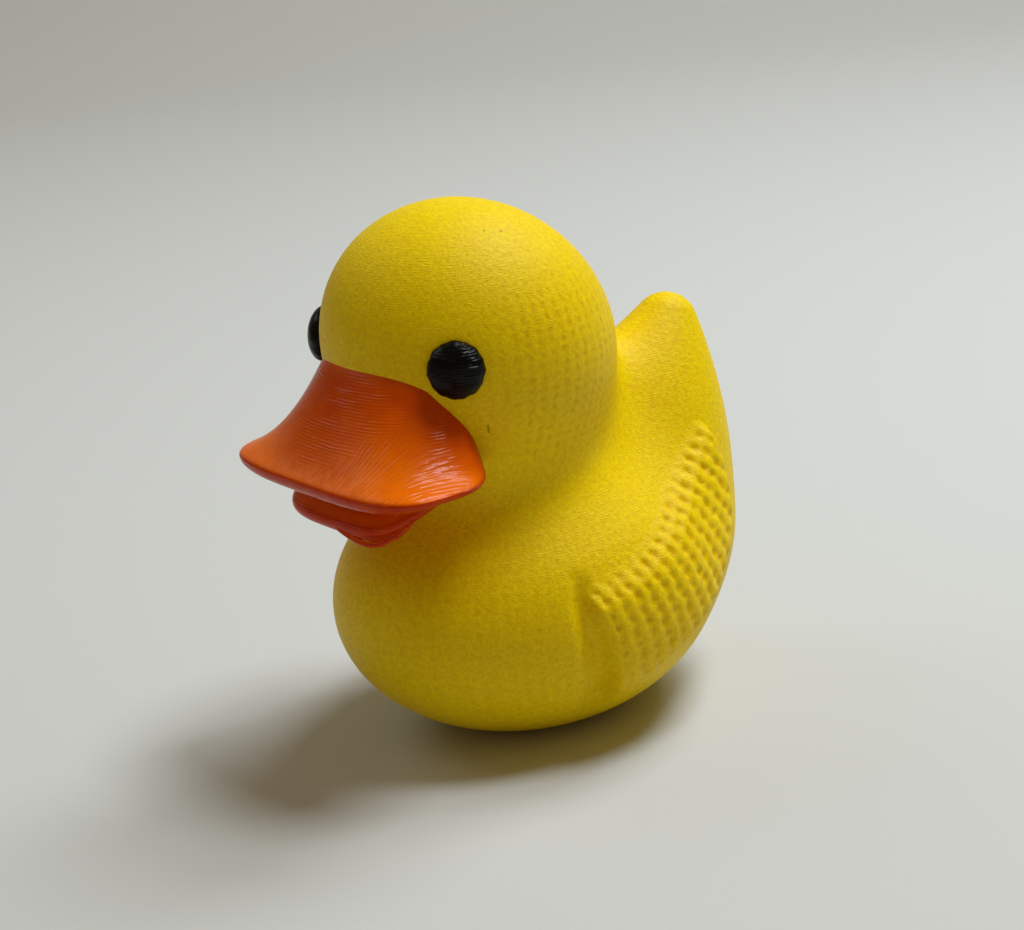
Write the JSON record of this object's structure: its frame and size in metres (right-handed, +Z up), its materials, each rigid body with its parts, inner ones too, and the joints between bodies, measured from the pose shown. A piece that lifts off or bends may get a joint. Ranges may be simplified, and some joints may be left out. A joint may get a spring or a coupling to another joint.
{
  "type": "toy duck",
  "caption": "Small printed toy duck with a knitted look: round yellow body and head, ribbed wings, broad orange bill and black eyes.",
  "frame": {"origin": "middle of the flat base, on the plane it stands on", "axes": "+Z up out of the base; the duck faces -Y and its left side is +X"},
  "size_m": [0.0346, 0.0471, 0.0499],
  "materials": {
    "yellow_print": "matte layer-printed plastic",
    "orange_print": "satin layer-printed plastic",
    "black_print": "satin layer-printed plastic"
  },
  "bodies": {
    "root": {"body": "yellow_print", "beak": "orange_print", "eye_left": "black_print", "eye_right": "black_print"}
  },
  "joints": []
}
